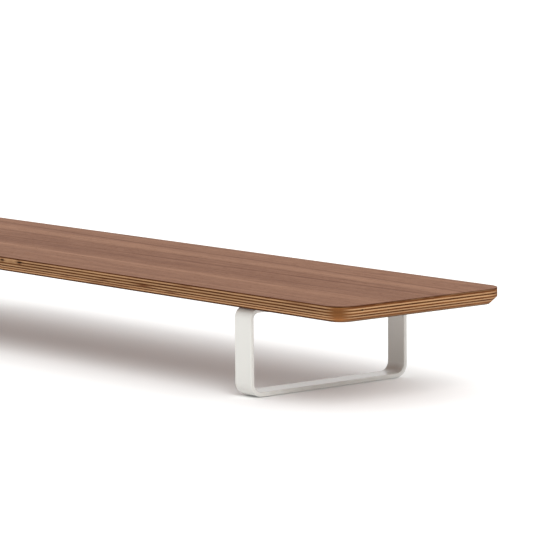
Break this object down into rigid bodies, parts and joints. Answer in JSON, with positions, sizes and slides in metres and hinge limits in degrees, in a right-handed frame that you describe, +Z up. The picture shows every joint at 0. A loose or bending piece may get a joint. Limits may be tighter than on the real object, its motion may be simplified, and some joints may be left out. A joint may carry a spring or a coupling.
{
  "type": "desk shelf",
  "caption": "Long low desk shelf: a walnut-veneered plywood board with rounded corners and a bevelled underside, on white legs bent from flat steel bar into rounded loops.",
  "frame": {"origin": "on the table, under the middle of the board (bottom centre of the box)", "axes": "+X along the board to its right end, +Y from the front edge to the back edge, +Z up"},
  "size_m": [1.2, 0.252, 0.1217],
  "materials": {
    "walnut_veneer": "matt lacquered walnut veneer, straight grain along the board",
    "ply_light": "oiled plywood edge, light layer",
    "ply_dark": "oiled plywood edge, dark layer",
    "white_steel": "warm white powder coat, fine satin texture",
    "screw_steel": "bright zinc-plated steel",
    "insert_brass": "turned brass",
    "foot_pad": "thin matt silicone pad"
  },
  "bodies": {
    "root": {"walnut_veneer_top": "walnut_veneer", "core_ply_01": "ply_dark", "core_ply_02": "ply_light", "core_ply_03": "ply_dark", "core_ply_04": "ply_light", "core_ply_05": "ply_dark", "core_ply_06": "ply_light", "core_ply_07": "ply_dark", "core_ply_08": "ply_light", "core_ply_09": "ply_dark", "core_ply_10": "ply_light", "core_ply_11": "ply_dark", "walnut_veneer_bottom": "walnut_veneer", "leg_loop_left": "white_steel", "leg_screw_left_1": "screw_steel", "leg_screw_left_2": "screw_steel", "leg_screw_left_3": "screw_steel", "leg_screw_left_4": "screw_steel", "threaded_insert_left_1": "insert_brass", "threaded_insert_left_2": "insert_brass", "threaded_insert_left_3": "insert_brass", "threaded_insert_left_4": "insert_brass", "foot_pad_left_front": "foot_pad", "foot_pad_left_back": "foot_pad", "leg_loop_right": "white_steel", "leg_screw_right_1": "screw_steel", "leg_screw_right_2": "screw_steel", "leg_screw_right_3": "screw_steel", "leg_screw_right_4": "screw_steel", "threaded_insert_right_1": "insert_brass", "threaded_insert_right_2": "insert_brass", "threaded_insert_right_3": "insert_brass", "threaded_insert_right_4": "insert_brass", "foot_pad_right_front": "foot_pad", "foot_pad_right_back": "foot_pad"}
  },
  "joints": []
}
